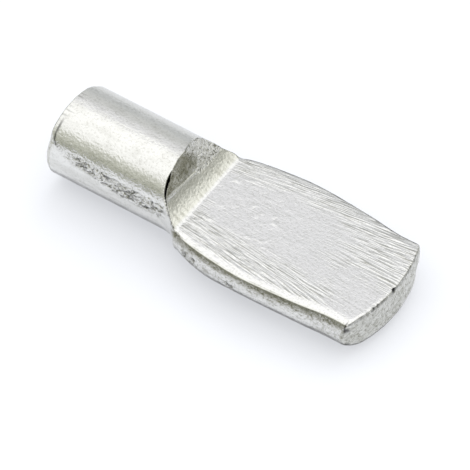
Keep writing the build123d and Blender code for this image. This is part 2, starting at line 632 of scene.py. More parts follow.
    def build(self) -> Skin:
        """Lays the grid over the whole pin.

        Returns:
            The clean skin, before any relief.
        """
        form = self.form
        shares = self.shares()
        places, outlines = self.knots(shares)
        wire = outlines[0]
        tip = self.outline_at(np.full((1, wire.shape[0]), self.rim_x), places, outlines)[0]
        tip_r, crop_r = self.rim_radii(tip, wire)
        rows = self.rows()[:, None]
        tip_shift = form.tip_curve(tip[:, 0]) - tip_r - form.tip_x
        crop_shift = form.crop_plane(wire[:, 0], wire[:, 1]) + crop_r + form.shank_length
        tip_share = np.clip((rows - self.tip_lead) / (form.tip_x - self.tip_lead), 0, 1)
        crop_share = np.clip((self.crop_lead - rows) / (form.shank_length + self.crop_lead), 0, 1)
        x = rows + tip_shift * tip_share ** 2 + crop_shift * crop_share ** 2
        yz = self.outline_at(x, places, outlines)
        body = self.press(np.concatenate([x[..., None], yz], axis=-1))
        crop = self.cap(body[0], -1.0, crop_r, self.crop_rows)
        end = self.cap(body[-1], 1.0, tip_r, self.tip_rows)
        points = np.concatenate([crop[::-1], body, end])

        # The punch pressed what lies between the two seat edges, down to the height that it left
        zones = np.full(points.shape[:2], Zone.DRAWN.value)
        pressed = (points[..., 0] > -0.3) & (points[..., 2] > form.edge_z - 0.01)
        pressed[:, self.top_columns + 1:] = False
        pressed[:, 0] = True
        pressed &= points[..., 2] > form.punch_height(points[..., 0], points[..., 1]) - 0.06
        zones[pressed] = Zone.PRESSED.value
        zones[:len(crop)] = Zone.SHEARED.value
        zones[-len(end):] = Zone.SHEARED.value
        return Skin(points, zones, (self.crop_rows, self.tip_rows), self.top_columns)

    def press(self, body: np.ndarray) -> np.ndarray:
        """Lowers the metal to what the punch leaves, and flattens it where the anvil was.

        Args:
            body: rows by columns by (x, y, z).

        Returns:
            The pressed body.
        """
        form = self.form
        x, y, z = np.moveaxis(body, -1, 0)
        pressed = soft_min(z, form.punch_height(x, y), self.punch_blend)
        touched = (x > -0.6) & (z > -0.4)
        z = np.where(touched, pressed, z)
        flattened = soft_max(z, np.full_like(z, -form.wire_r), self.anvil_blend)
        z = np.where(x > form.throat_x, flattened, z)
        return np.stack([x, y, z], axis=-1)

    def face_of(self, side: float, yz: np.ndarray) -> np.ndarray:
        """Place along the pin of the tip's face, or of the cropped face, at each (y, z)."""
        return self.form.tip_curve(yz[:, 0]) if side > 0 else self.form.crop_plane(*yz.T)

    def cap(self, rim: np.ndarray, side: float, radii: np.ndarray, rows: int) -> np.ndarray:
        """Rounds the rim of an end and closes it towards its middle line.

        Args:
            rim: last row of the body at that end.
            side: 1 at the tip, -1 at the cropped end.
            radii: how far the rim is rounded at each column.
            rows: rows from the rounded rim to the middle line.

        Returns:
            The rows of the cap, from the rim inwards.
        """
        y, z = rim[:, 1], rim[:, 2]
        low, high = z.min(), z.max()
        middle_z = (low + high) / 2
        reach = max(0.0, y.max() - (high - low) / 2)
        middle = np.stack([np.clip(y, -reach, reach), np.full_like(z, middle_z)], axis=1)
        inward = middle - rim[:, 1:]
        distance = np.linalg.norm(inward, axis=1)
        inward /= distance[:, None]
        made = []
        for j in range(1, self.edge_rows + 1):
            turn = math.pi / 2 * j / self.edge_rows
            yz = rim[:, 1:] + inward * (radii * (1 - math.cos(turn)))[:, None]
            x = rim[:, 0] + side * radii * math.sin(turn)
            made.append(np.concatenate([x[:, None], yz], axis=1))
        start, at_rim = made[-1][:, 1:], made[-1][:, 0]
        first = self.face_of(side, start)
        for j in range(1, rows + 1):
            share = 0.999 * j / rows
            yz = start + (middle - start) * share
            x = self.face_of(side, yz) + (at_rim - first) * (1 - share)
            made.append(np.concatenate([x[:, None], yz], axis=1))
        return np.stack(made)


# Marks that making and tumbling leave in the skin, and the shade painted in them and along edges

class Mark(ABC):
    """One kind of mark in the skin, with its sizes in millimetres and degrees.

    The two numbers that each smooth_step starts with are the places, heights, gaps or angles
    between which the mark fades in. A Grain is given its seed, the lengths of its swells and its
    number of octaves.
    """

    @abstractmethod
    def apply(self, skin: Skin, form: PinForm) -> None:
        """Puts the mark in the skin.

        Args:
            skin: the skin to mark.
            form: the form below it.
        """


@dataclass
class SeatFlow(Mark):
    """What the punch left: lines, dimples and crescents on the seat, scored ramp and crinkled wall.

    Attributes:
        line_depth: depth of the fine lines along the flow of the metal.
        all_over: strength of these lines where nothing scored the seat.
        tip_lines: strength that they gain towards the tip.
        near_lines: strength that they gain along the near edge.
        far_lines: strength that they gain along the far edge.
        root_lines: strength that they gain at the near end of the crease.
        dimple_depth: depth of the dimples.
        crescent_height: height of the thin crescents pressed up in the seat.
        crescent_width: breadth of a crescent, as a share of the swell that places it.
        roll_width: width of the roll down to the tip edge.
        roll_drop: how far the seat rolls down there.
        ramp_depth: depth of the score lines up the ramp.
        wall_end: place along the pin where the marks of the wall end.
        foot_fall: how far the foot of the wall drops for each millimetre towards the far side.
        foot_span: places across the pin between which it drops.
        border_z: heights on the border between the smooth wall and the torn far shoulder.
        border_y: places across the pin of that border at these heights.
        crinkle: height of the crinkle on the wall, and what it gains on the far shoulder.
        lip_height: height of the bright lip at the foot of the wall.
        lip_width: width of that lip.
    """

    line_depth: float = 0.011
    all_over: float = 0.10
    tip_lines: float = 0.75
    near_lines: float = 1.5
    far_lines: float = 0.85
    root_lines: float = 0.5
    dimple_depth: float = 0.009
    crescent_height: float = 0.024
    crescent_width: float = 0.17
    roll_width: float = 0.24
    roll_drop: float = 0.030
    ramp_depth: float = 0.004
    wall_end: float = 0.95
    foot_fall: float = 0.10
    foot_span: tuple[float, float] = (-1.6, 0.6)
    border_z: tuple[float, ...] = (1.16, 1.25, 1.38, 1.60, 2.02, 2.33)
    border_y: tuple[float, ...] = (0.20, 0.50, 0.74, 0.78, 0.45, 0.05)
    crinkle: tuple[float, float] = (0.010, 0.020)
    lip_height: float = 0.026
    lip_width: float = 0.075

    def apply(self, skin: Skin, form: PinForm) -> None:
        """Marks the seat, the ramp and the wall, all by their places in the unmarked skin.

        Args:
            skin: the skin to mark.
            form: the form below it.
        """
        clean = skin.points
        pressed = skin.in_zone(Zone.PRESSED)
        self.mark_seat(skin, form, clean, pressed)
        self.score_ramp(skin, form, clean, pressed)
        self.crinkle_wall(skin, form, clean, pressed)

    def edge_shares(self, skin: Skin, x: np.ndarray, y: np.ndarray) -> tuple:
        """How far each point belongs to the bands along the long edges of the seat.

        Args:
            skin: the skin to mark.
            x: places along the pin.
            y: places across it.

        Returns:
            Shares of the near band, of the far band and of the smooth rim outside the near band.
        """
        near_gap = y - y[:, :1]
        far_gap = y[:, skin.top_columns][:, None] - y
        near = smooth_step(2.3, 1.1, near_gap) * smooth_step(0.32, 0.55, near_gap)
        near *= smooth_step(10.6, 8.8, x)
        return near, smooth_step(1.7, 0.5, far_gap), smooth_step(0.36, 0.22, near_gap)

    def mark_seat(self, skin: Skin, form: PinForm, clean: np.ndarray, pressed: np.ndarray) -> None:
        """Presses lines, dimples and crescents into the seat, and rolls it down at the tip.

        Args:
            skin: the skin to mark.
            form: the form below it.
            clean: points of the unmarked skin.
            pressed: which of them the punch pressed.
        """
        x, y, _ = np.moveaxis(clean, -1, 0)
        seat = pressed * smooth_step(form.crease_x, form.crease_x + 0.25, x)
        flow = on_plane(x, form.flow_lane(x, y) + 0.04 * Grain(5, (2.4, 1.5, 1.0)).at(clean))
        near, far, rim = self.edge_shares(skin, x, y)

        # Lines, stronger in patches
        fine = Grain(11, (0.8, 0.075, 1.0)).at(flow)
        patchy = Grain(13, (1.3, 0.7, 1.0), 2).at(flow)
        tip = smooth_step(7.5, 10.0, x) * (0.06 + 0.94 * smooth_step(-1.1, 0.5, y))
        root = smooth_step(2.7, 1.5, x) * smooth_step(0.3, -1.3, y)
        strength = (self.all_over + self.tip_lines * tip + self.near_lines * near
                    + self.far_lines * far + self.root_lines * root)
        strength = np.clip(strength * (1.0 + 0.7 * patchy), 0.06, 2.0)
        strength *= 1.0 - 0.55 * rim
        skin.raise_mask("lined", seat * np.minimum(strength, 1.0))
        height = self.line_depth * strength * fine

        # Dimples and crescents, which leave the near rim smooth
        dimples = Grain(14, (0.34, 0.19, 1.0), 2).at(flow)
        where = smooth_step(9.5, 4.0, x) * (0.7 + 0.9 * near + 0.4 * far)
        height += self.dimple_depth * where * (1.0 - rim) * dimples
        crescents = ridge(Grain(17, (0.60, 0.34, 1.0)).at(flow), self.crescent_width)
        patches = smooth_step(-0.1, 0.5, Grain(18, (0.8, 0.6, 1.0)).at(flow))
        patches *= smooth_step(8.5, 5.0, x)
        height += self.crescent_height * patches * crescents * (1.0 - rim)

        roll = smooth_step(self.roll_width, 0.0, form.tip_curve(y) - x)
        height -= self.roll_drop * roll * (0.8 + 0.5 * fine)
        skin.push(seat * height)

    def score_ramp(self, skin: Skin, form: PinForm, clean: np.ndarray, pressed: np.ndarray) -> None:
        """Scores the ramp along the pin, with painted shade in the deepest lines.

        Args:
            skin: the skin to mark.
            form: the form below it.
            clean: points of the unmarked skin.
            pressed: which of them the punch pressed.
        """
        x, y, _ = np.moveaxis(clean, -1, 0)
        ramp = pressed * smooth_step(form.crease_x + 0.1, form.crease_x - 0.2, x)
        ramp *= smooth_step(0.45, 1.25, x)
        scores = Grain(15, (0.9, 0.11, 1.0)).at(on_plane(x, y))
        skin.push(self.ramp_depth * ramp * scores * (0.6 + 0.4 * smooth_step(0.5, -2.0, y)))
        # Painted shade in the deepest scores
        deepest = ramp * smooth_step(-0.15, -0.6, scores) * smooth_step(0.75, 1.0, x)
        skin.raise_mask("tarnish_and_shade", 0.35 * deepest)

    def crinkle_wall(self, skin: Skin, form: PinForm, clean: np.ndarray, pressed: np.ndarray) -> None:
        """Crinkles the wall, paints shade on it, in the valley below, low on the far shoulder and on the
        upper ramp, tears the far shoulder and leaves a bright lip at the foot, clear of that shade.

        Args:
            skin: the skin to mark.
            form: the form below it.
            clean: points of the unmarked skin.
            pressed: which of them the punch pressed.
        """
        x, y, z = np.moveaxis(clean, -1, 0)
        mottle = Grain(16, (0.25, 0.25, 0.25), 3).at(skin.points)
        start, end = self.foot_span
        foot = form.wall_foot_z - self.foot_fall * (np.clip(y, start, end) - start)
        above = pressed * (x < self.wall_end)
        valley = above * smooth_step(0.34, 0.52, x) * smooth_step(0.90, 0.66, x)
        wall = above * smooth_step(foot - 0.06, foot + 0.08, z)
        upper_ramp = pressed * smooth_step(foot + 0.20, foot + 0.05, z) * smooth_step(1.35, 0.85, x)
        border = np.interp(z, self.border_z, self.border_y)
        far = smooth_step(-0.18, 0.18, y - border + 0.18 * mottle)
        shoulder = far * above * smooth_step(foot - 0.18, foot, z)
        # Painted shade on the wall, in the valley, low on the far shoulder and on the upper ramp
        for dim in (wall * (0.72 - 0.72 * far + 0.30 * mottle),
                    valley * (0.20 - 0.1 * far + 0.1 * mottle),
                    0.18 * shoulder * smooth_step(1.40, 1.10, z),
                    upper_ramp * (0.05 + 0.15 * smooth_step(-0.4, 1.2, y) + 0.06 * mottle)):
            skin.raise_mask("tarnish_and_shade", dim)
        skin.raise_mask("torn", shoulder + 0.50 * above * smooth_step(1.26, 1.40, z))
        skin.raise_mask("dull", np.maximum(wall * 0.3, shoulder * 0.8))
        low, gain = self.crinkle
        skin.push(wall * mottle * (low + gain * far))

        lip = above * smooth_step(self.lip_width, 0.0, np.abs(z - foot + 0.02 * mottle))
        lip *= smooth_step(-2.0, -1.2, y) * smooth_step(0.45, -0.05, y)
        # The lip is left clear of the painted shade
        skin.tarnish_and_shade *= 1.0 - lip
        skin.push(self.lip_height * lip)


@dataclass(frozen=True)
class PitCluster:
    """Place on the near flank where pits gather.

    Attributes:
        x: its middle along the pin.
        full: distance from the middle up to which it is full of pits.
        outer: distance at which they end.
    """

    x: float
    full: float
    outer: float


@dataclass
class DrawnScale(Mark):
    """Marks in the drawn skin: orange peel, a torn streak low on the shank, and a pitted near flank.

    Attributes:
        peel_depth: depth of the soft orange peel.
        pit_depth: depth of the furrows in the streak.
        pit_width: breadth of a furrow, as a share of the swell that places it.
        streak_top: degrees up the near side of the streak's upper border, at the cropped end.
        streak_bottom: the same of its lower border.
        top_fall: degrees that the upper border sinks towards the shoulder.
        bottom_fall: degrees that the lower border sinks.
        hole_depth: depth of the pits on the flank.
        clusters: where these gather.
        shade_band: height of the painted shade band under the near edge of the seat, at the crease.
    """

    peel_depth: float = 0.003
    pit_depth: float = 0.045
    pit_width: float = 0.19
    streak_top: float = 25.5
    streak_bottom: float = 13.0
    top_fall: float = 6.0
    bottom_fall: float = 11.5
    hole_depth: float = 0.05
    clusters: tuple[PitCluster, ...] = (PitCluster(2.6, 0.2, 0.75), PitCluster(5.1, 0.3, 0.95))
    shade_band: float = 0.32

    def apply(self, skin: Skin, form: PinForm) -> None:
        """Roughens the shank and the flank, both by their places in the unmarked skin.

        Args:
            skin: the skin to mark.
            form: the form below it.
        """
        clean = skin.points
        angle = skin.angles()
        drawn = skin.in_zone(Zone.DRAWN)
        skin.push(self.peel_depth * drawn * Grain(21, (0.26, 0.16, 0.16), 2).at(clean))
        self.tear_streak(skin, clean, drawn, angle)
        self.mark_flank(skin, form, clean, drawn)
        self.dim_shank(skin, clean, drawn, angle)

    def tear_streak(self, skin: Skin, clean: np.ndarray, drawn: np.ndarray, angle: np.ndarray) -> None:
        """Tears the streak, which sinks round the shank towards the shoulder, and paints shade in its
        furrows.

        Args:
            skin: the skin to mark.
            clean: points of the unmarked skin.
            drawn: which of them no tool has pressed or cut.
            angle: degrees up the near side.
        """
        x, y, _ = np.moveaxis(clean, -1, 0)
        fall = smooth_step(-5.4, -1.6, x)
        top = self.streak_top - self.top_fall * fall
        bottom = self.streak_bottom - self.bottom_fall * fall
        band = smooth_step(top + 2.5, top - 1.5, angle) * smooth_step(bottom - 4.0, bottom + 2.0, angle)
        band *= smooth_step(-6.0, -4.6, x) * smooth_step(0.75, 0.1, x) * (y < 0)
        web = ridge(Grain(25, (0.50, 0.17, 0.17), 2).at(clean), self.pit_width)
        patch = smooth_step(-0.75, -0.1, Grain(26, (0.9, 0.3, 0.3)).at(clean) + 0.5 * fall)
        streak = drawn * band * patch
        skin.push(-self.pit_depth * streak * web)
        skin.raise_mask("torn", streak)
        skin.raise_mask("dull", drawn * band * 0.25)
        # Painted shade in the furrows
        skin.raise_mask("painted_shade", streak * web * 0.80)

    def mark_flank(self, skin: Skin, form: PinForm, clean: np.ndarray, drawn: np.ndarray) -> None:
        """Pits the near flank and paints shade in the pits, clouds it at random, and paints shade in a
        band under the edge of the seat and low on the tongue.

        Args:
            skin: the skin to mark.
            form: the form below it.
            clean: points of the unmarked skin.
            drawn: which of them no tool has pressed or cut.
        """
        x, y, z = np.moveaxis(clean, -1, 0)
        flank = drawn * smooth_step(0.9, 1.6, x) * (y < 0)
        low = smooth_step(-0.15, -0.5, z) * smooth_step(9.5, 5.0, x)
        spots = np.zeros_like(x)
        for cluster in self.clusters:
            away = np.abs(x - cluster.x)
            spots = np.maximum(spots, smooth_step(cluster.outer, cluster.full, away))
        holes = smooth_step(0.25, 0.7, Grain(24, (0.30, 0.2, 0.2), 2).at(clean)) * flank * low * spots
        skin.push(-self.hole_depth * holes)
        skin.raise_mask("torn", flank * (0.50 + 0.60 * low * spots) * smooth_step(0.10, -0.10, z))
        # Painted shade in the pits
        skin.raise_mask("painted_shade", holes * 0.5)
        smudge = Grain(27, (0.55, 0.24, 0.24), 4).at(clean)
        skin.raise_mask("tarnish_and_shade", flank * np.clip(0.02 + 0.45 * smudge + 0.14 * spots * low, 0.0, 0.7))

        # Painted shade in a band under the near edge of the seat
        under_edge = form.edge_z - z
        reach = self.shade_band - 0.07 * smooth_step(2.4, 4.0, x) + 0.10 * smooth_step(5.0, 8.5, x)
        shade = drawn * smooth_step(0.9, 1.3, x) * smooth_step(-0.02, 0.03, under_edge) * (y < 0)
        shade *= smooth_step(reach + 0.14, reach - 0.12, under_edge + 0.14 * smudge)
        skin.raise_mask("tarnish_and_shade", shade * (0.68 + 0.2 * smudge))
        # Painted shade low on the tongue, towards the sheet
        skin.raise_mask("tarnish_and_shade", drawn * 0.45 * smooth_step(-1.10, -1.55, z) * (x > 0.8))

    def dim_shank(self, skin: Skin, clean: np.ndarray, drawn: np.ndarray, angle: np.ndarray) -> None:
        """Clouds the shank at random, and paints shade low on the near side and on the far shoulder.

        Args:
            skin: the skin to mark.
            clean: points of the unmarked skin.
            drawn: which of them no tool has pressed or cut.
            angle: degrees up the near side.
        """
        x, y, z = np.moveaxis(clean, -1, 0)
        # Painted shade on the far shoulder
        skin.raise_mask("tarnish_and_shade", drawn * 0.30 * (x < 0.5) * smooth_step(108.0, 122.0, angle) * (z > 0))
        # Painted shade low on the near side, added to the random clouds
        low_side = smooth_step(28.0, -12.0, angle) * (y < 0)
        cloud = Grain(28, (0.5, 0.2, 0.2), 3).at(clean)
        dim = np.clip(0.02 + 0.15 * cloud + 0.11 * low_side, 0.0, 1.0)
        skin.raise_mask("tarnish_and_shade", drawn * (x < 0.9) * dim)


@dataclass
class ColdShut(Mark):
    """Fold at the root of the shoulder, where the shank's metal laps over the wall, with black painted
    shade in it.

    Attributes:
        depth: how deep the fold runs in where it is widest.
        width: half of its width there, at size 1.
        line_angles: degrees up the near side of the points that the fold passes.
        line_x: places along the pin of these points.
        size_angles: degrees up the near side at which its size is given.
        sizes: its size there.
    """

    depth: float = 0.42
    width: float = 0.076
    line_angles: tuple[float, ...] = (14.0, 22.0, 31.0, 38.0, 47.0, 56.0, 66.0)
    line_x: tuple[float, ...] = (0.72, 0.52, 0.28, 0.18, 0.11, 0.06, 0.02)
    size_angles: tuple[float, ...] = (12.0, 20.0, 32.0, 43.0, 53.0, 64.0)
    sizes: tuple[float, ...] = (0.0, 0.65, 1.0, 1.15, 0.85, 0.0)

    def apply(self, skin: Skin, form: PinForm) -> None:
        """Opens the fold along the near side of the rim and paints black shade in it.

        Args:
            skin: the skin to mark.
            form: the form below it.
        """
        clean = skin.points
        x, y, z = np.moveaxis(clean, -1, 0)
        from_axis = np.hypot(y, z)
        angle = skin.angles()
        line = np.interp(angle, self.line_angles, self.line_x)
        wander = 0.02 * Grain(31, (0.3, 0.3, 0.3)).at(clean)
        size = np.interp(angle, self.size_angles, self.sizes)
        inside = ridge(x - line - wander, self.width * np.maximum(size, 0.02))
        inside *= (y < 0) * (size > 0.01) * (from_axis > 0.6 * form.wire_r)
        inward = np.stack([np.zeros_like(x), -y, -z], axis=-1) / from_axis[..., None]
        skin.points = clean + inward * (self.depth * size * np.sqrt(inside))[..., None]
        # Painted shade, black in the fold
        skin.raise_mask("painted_shade", smooth_step(0.0, 0.35, inside))


@dataclass(frozen=True)
class Notch:
    """Small break in the top edge of the tip.

    Attributes:
        y: its place across the tip.
        half: half of its width at the edge.
        share: its depth, and the darkness of the shade painted in it, as a share of the deepest.
    """

    y: float
    half: float
    share: float


@dataclass
class ShearedGrain(Mark):
    """Grainy break on the cropped end and the tip, and the ragged top edge of the tip.

    Attributes:
        depth: depth of the grain.
        ragged_depth: how far the top edge of the tip wanders in and out.
        notch_depth: depth of the deepest notch in it.
        notches: the notches.
        tip_torn: how far the tip is torn.
        crop_torn: how far the cropped end is torn.
    """

    depth: float = 0.018
    ragged_depth: float = 0.022
    notch_depth: float = 0.09
    notches: tuple[Notch, ...] = (
        Notch(-1.55, 0.10, 0.7),
        Notch(-1.22, 0.10, 0.6),
        Notch(0.03, 0.17, 1.0),
        Notch(1.68, 0.08, 0.5),
        Notch(2.40, 0.10, 0.6),
    )
    tip_torn: float = 0.38
    crop_torn: float = 0.16

    def apply(self, skin: Skin, form: PinForm) -> None:
        """Roughens and clouds both ends, breaks the top edge of the tip, and paints shade along that
        edge and in its notches.

        Args:
            skin: the skin to mark.
            form: the form below it.
        """
        clean = skin.points
        x, y, z = np.moveaxis(clean, -1, 0)
        sheared = skin.in_zone(Zone.SHEARED)
        grain = Grain(41, (0.22, 0.16, 0.30), 3).at(clean)
        shear = Grain(43, (0.6, 0.10, 0.9), 2).at(clean)
        skin.push(self.depth * sheared * (0.6 * grain + 0.3 * shear))
        stain = Grain(44, (0.4, 0.22, 0.22), 4).at(clean)
        skin.raise_mask("tarnish_and_shade", sheared * np.clip(0.08 + 0.45 * stain, 0.0, 0.6))
        skin.raise_mask("torn", sheared * np.where(x > 0.0, self.tip_torn, self.crop_torn))

        edge = smooth_step(0.20, 0.0, np.abs(x - form.tip_curve(y))) * smooth_step(-0.08, 0.10, z)
        ragged = Grain(42, (5.0, 0.16, 5.0), 2).at(clean)
        cut = np.zeros_like(y)
        for notch in self.notches:
            cut = np.maximum(cut, ridge(y - notch.y, notch.half) * notch.share)
        skin.points[..., 0] += edge * (self.ragged_depth * ragged - self.notch_depth * cut)
        # Painted shade along the ragged edge and in the notches
        line = edge * sheared * (0.30 - 0.45 * ragged)
        skin.raise_mask("painted_shade", line + cut * edge)


@dataclass
class EdgeLines(Mark):
    """Thin lines of painted shade: where the punched faces break over the sides, and low down near the
    sheet.

    Attributes:
        far_lines: darkness of the columns round the far seat edge, counted from that edge.
        near_lines: darkness of the columns round the near edge of the ramp, counted from that edge.
        lip_width: width of the line along the lip of the cropped end.
        lip_angles: degrees up the near side of the points that this line passes.
        lip_x: places along the pin of these points.
        corner_width: width of the line down the near corner of the tip.
    """

    far_lines: tuple[tuple[int, float], ...] = ((-2, 0.30), (-1, 0.50), (0, 0.75), (1, 0.3))
    near_lines: tuple[tuple[int, float], ...] = ((1, 0.35), (0, 0.6), (-1, 0.45))
    lip_width: float = 0.065
    lip_angles: tuple[float, ...] = (22.0, 26.0, 32.0, 40.0, 60.0)
    lip_x: tuple[float, ...] = (-5.9, -6.30, -6.46, -6.50, -6.44)
    corner_width: float = 0.05

    def apply(self, skin: Skin, form: PinForm) -> None:
        """Paints the lines of shade.

        Args:
            skin: the skin to mark.
            form: the form below it.
        """
        uneven = Grain(61, (0.25, 0.25, 0.25), 2).at(skin.points)
        self.line_edges(skin, uneven)
        self.line_silhouette(skin, uneven)
        self.line_rim(skin, uneven)
        self.line_ends(skin, form)

    def line_edges(self, skin: Skin, uneven: np.ndarray) -> None:
        """Paints shade lines along the far seat edge and the near edge of the ramp, and tears the
        latter.

        Args:
            skin: the skin to mark.
            uneven: how strong the lines are from place to place.
        """
        x = skin.points[..., 0]
        far_span = smooth_step(-0.2, 0.1, x) * smooth_step(12.6, 12.2, x)
        ramp_span = smooth_step(0.5, 0.8, x) * smooth_step(2.3, 1.5, x)
        dark = np.zeros_like(x)
        for edge, lines, span in ((skin.top_columns, self.far_lines, far_span),
                                  (0, self.near_lines, ramp_span)):
            for step, share in lines:
                column = edge + step
                line = span[:, column] * share * (0.8 + 0.6 * uneven[:, column])
                dark[:, column] = np.clip(line, 0.0, 0.8)
        # Painted shade along the far seat edge and the near ramp edge
        skin.raise_mask("painted_shade", dark)
        ragged = np.zeros_like(x)
        ragged[:, -4:] = 1.0
        ragged[:, :3] = 1.0
        skin.raise_mask("torn", ragged * ramp_span)

    def line_silhouette(self, skin: Skin, uneven: np.ndarray) -> None:
        """Paints shade where the skin turns under towards the sheet.

        Args:
            skin: the skin to mark.
            uneven: how strong the line is from place to place.
        """
        down = skin.normals()[..., 2]
        level = -0.22 + 0.12 * smooth_step(0.5, 2.0, skin.points[..., 0])
        low = smooth_step(level, level - 0.18, down) * smooth_step(-0.97, -0.80, down)
        skin.raise_mask("painted_shade", low * (0.66 + 0.15 * uneven))

    def line_rim(self, skin: Skin, uneven: np.ndarray) -> None:
        """Paints a line of shade along the rim over the wall, where the shank ends.

        Args:
            skin: the skin to mark.
            uneven: how strong the line is from place to place.
        """
        x, y, z = np.moveaxis(skin.points, -1, 0)
        pressed = skin.in_zone(Zone.PRESSED)
        rim = np.zeros_like(x)
        for step in range(-2, 3):
            change = np.roll(pressed, step, axis=0) != pressed
            rim = np.maximum(rim, change * (1.0 - 0.25 * abs(step)))
        rim *= (np.abs(x) < 0.7) * smooth_step(-1.5, -0.9, y) * (z > 1.2)
        skin.raise_mask("painted_shade", rim * smooth_step(-0.2, 0.5, uneven) * 0.7)

    def line_ends(self, skin: Skin, form: PinForm) -> None:
        """Paints lines of shade along the lip of the cropped end and down the near corner of the tip.

        Args:
            skin: the skin to mark.
            form: the form below it.
        """
        x, y, z = np.moveaxis(skin.points, -1, 0)
        angle = skin.angles()
        lip = np.interp(angle, self.lip_angles, self.lip_x)
        lip_share = smooth_step(19.0, 27.0, angle) * smooth_step(64.0, 48.0, angle) * (x < -5.5)
        away = np.abs(x - lip) / self.lip_width
        skin.raise_mask("painted_shade", 0.75 * lip_share * smooth_step(1.2, 0.4, away))
        corner = form.tip_curve(y[:, :1]) - 0.10
        down_edge = smooth_step(-0.62, -0.30, z) * smooth_step(0.20, 0.10, z) * (y < -2.6)
        away = np.abs(x - corner) / self.corner_width
        skin.raise_mask("painted_shade", 0.85 * down_edge * smooth_step(1.2, 0.3, away))


@dataclass
class CropNicks(Mark):
    """Short nicks that the crop left along the top of the rim.

    Attributes:
        depth: depth of a nick.
        pitch: degrees round the rim from one nick to the next, about.
    """

    depth: float = 0.008
    pitch: float = 1.9

    def apply(self, skin: Skin, form: PinForm) -> None:
        """Cuts the nicks and paints shade in them.

        Args:
            skin: the skin to mark.
            form: the form below it, not used here.
        """
        x = skin.points[..., 0]
        angle = skin.angles()
        near_end = smooth_step(-5.9, -6.4, x) * skin.in_zone(Zone.DRAWN)
        arc = smooth_step(52.0, 62.0, angle) * smooth_step(112.0, 98.0, angle)
        lines = Grain(51, (0.9, 1.0, 1.0)).at(on_plane(x, angle / self.pitch))
        nick = smooth_step(0.45, 0.9, lines) * near_end * arc
        skin.push(-self.depth * nick)
        # Painted shade in the nicks
        skin.raise_mask("painted_shade", nick * 0.35)


@dataclass
class PlatedPin:
    """The whole pin: form, skin, relief and finish.

    Attributes:
        form: sizes of the pin.
        body: name of the CAD body it rides on.
        node: name of the CAD node it stands for.
        sheet_gap: air left between the lowest metal and the sheet.
    """

    form: PinForm = field(default_factory=PinForm)
    body: str = "root"
    node: str = "shelf_pin"
    sheet_gap: float = 0.002

    def marks(self) -> list[Mark]:
        """Marks in the order in which they were made."""
        return [SeatFlow(), DrawnScale(), CropNicks(), ShearedGrain(), EdgeLines(), ColdShut()]

    def build(self, materials: dict) -> bpy.types.Object:
        """Makes the pin and dresses it.

        Args:
            materials: material of each kind of surface.

        Returns:
            The finished piece.
        """
        skin = SkinBuilder(self.form).build()
        for mark in self.marks():
            mark.apply(skin, self.form)
        skin.points[..., 2] = np.maximum(skin.points[..., 2], self.sheet_gap - self.form.wire_r)
        mesh = self.mesh(skin)
        for zone in Zone:
            mesh.materials.append(materials[zone])
        piece = bpy.data.objects.new("plated_pin", mesh)
        bpy.context.scene.collection.objects.link(piece)
        return piece

    def mesh(self, skin: Skin) -> bpy.types.Mesh:
        """Turns the skin into a closed mesh in metres.

        Args:
            skin: the marked skin.

        Returns:
            The mesh, with its finish masks as attributes.
        """
        rows, columns = skin.points.shape[:2]
        index = np.arange(rows * columns).reshape(rows, columns)
        here, below = index[:-1], index[1:]
        quads = np.stack([here, np.roll(here, -1, axis=1), np.roll(below, -1, axis=1), below], axis=-1)
        quads = quads.reshape(-1, 4)
        zones = skin.zones[:-1].ravel()
        faces = quads.tolist() + [index[0, ::-1].tolist(), index[-1].tolist()]
        mesh = bpy.data.meshes.new("plated_pin")
        mesh.from_pydata((skin.points.reshape(-1, 3) * MM).tolist(), [], faces)
        ends = np.full(2, Zone.SHEARED.value)
        mesh.polygons.foreach_set("material_index", np.append(zones, ends).astype(np.int32))
        mesh.polygons.foreach_set("use_smooth", np.append(np.ones(len(quads), bool), [False, False]))
        values_of = {name: getattr(skin, name) for name in MASKS}
        values_of["lane"] = self.form.flow_lane(skin.points[..., 0], skin.points[..., 1])
        for name, values in values_of.items():
            layer = mesh.attributes.new(name, "FLOAT", "POINT")
            layer.data.foreach_set("value", values.ravel().astype(np.float32))
        mesh.update()
        mesh.validate()
        return mesh


# Plating

Value = bpy.types.NodeSocket | float | tuple
# Olive tone of random tarnish and of painted shade
TARNISH_AND_SHADE_TONE = (0.235, 0.230, 0.180, 1.0)
# Near-black painted shade for folds, pits, nicks and the lines along edges
PAINTED_SHADE_TONE = (0.012, 0.012, 0.013, 1.0)
DULL_GAIN = 0.25        # roughness that full dullness adds
HAIR_ALONG = 800.0      # swells of the hairlines for each metre along the pin
HAIR_ACROSS = 14.0      # and for each millimetre across the flow
TEAR_SCALE = 6500.0     # swells of the torn skin for each metre
# GRAIN_SHADE and TEAR_SHADE set the painted shade in the hollows of the grain and of the torn skin
GRAIN_SHADE = 0.30      # how far the hollows of the grain are dimmed
TEAR_SHADE = 1.6        # how far those of the torn skin are dimmed


def new_group(name: str, inputs: dict, outputs: dict) -> tuple:
    """Makes an empty shader node group with named sockets.

    Args:
        name: name of the group.
        inputs: socket type and default value of each input.
        outputs: socket type of each output.

    Returns:
        The group, the values that it is given and the sockets that it puts out.
    """
    group = bpy.data.node_groups.new(name, "ShaderNodeTree")
    for label, (kind, value) in inputs.items():
        socket = group.interface.new_socket(label, in_out="INPUT", socket_type=kind)
        socket.default_value = value
    for label, kind in outputs.items():
        group.interface.new_socket(label, in_out="OUTPUT", socket_type=kind)
    start, end = group.nodes.new("NodeGroupInput"), group.nodes.new("NodeGroupOutput")
    return group, start.outputs, end.inputs


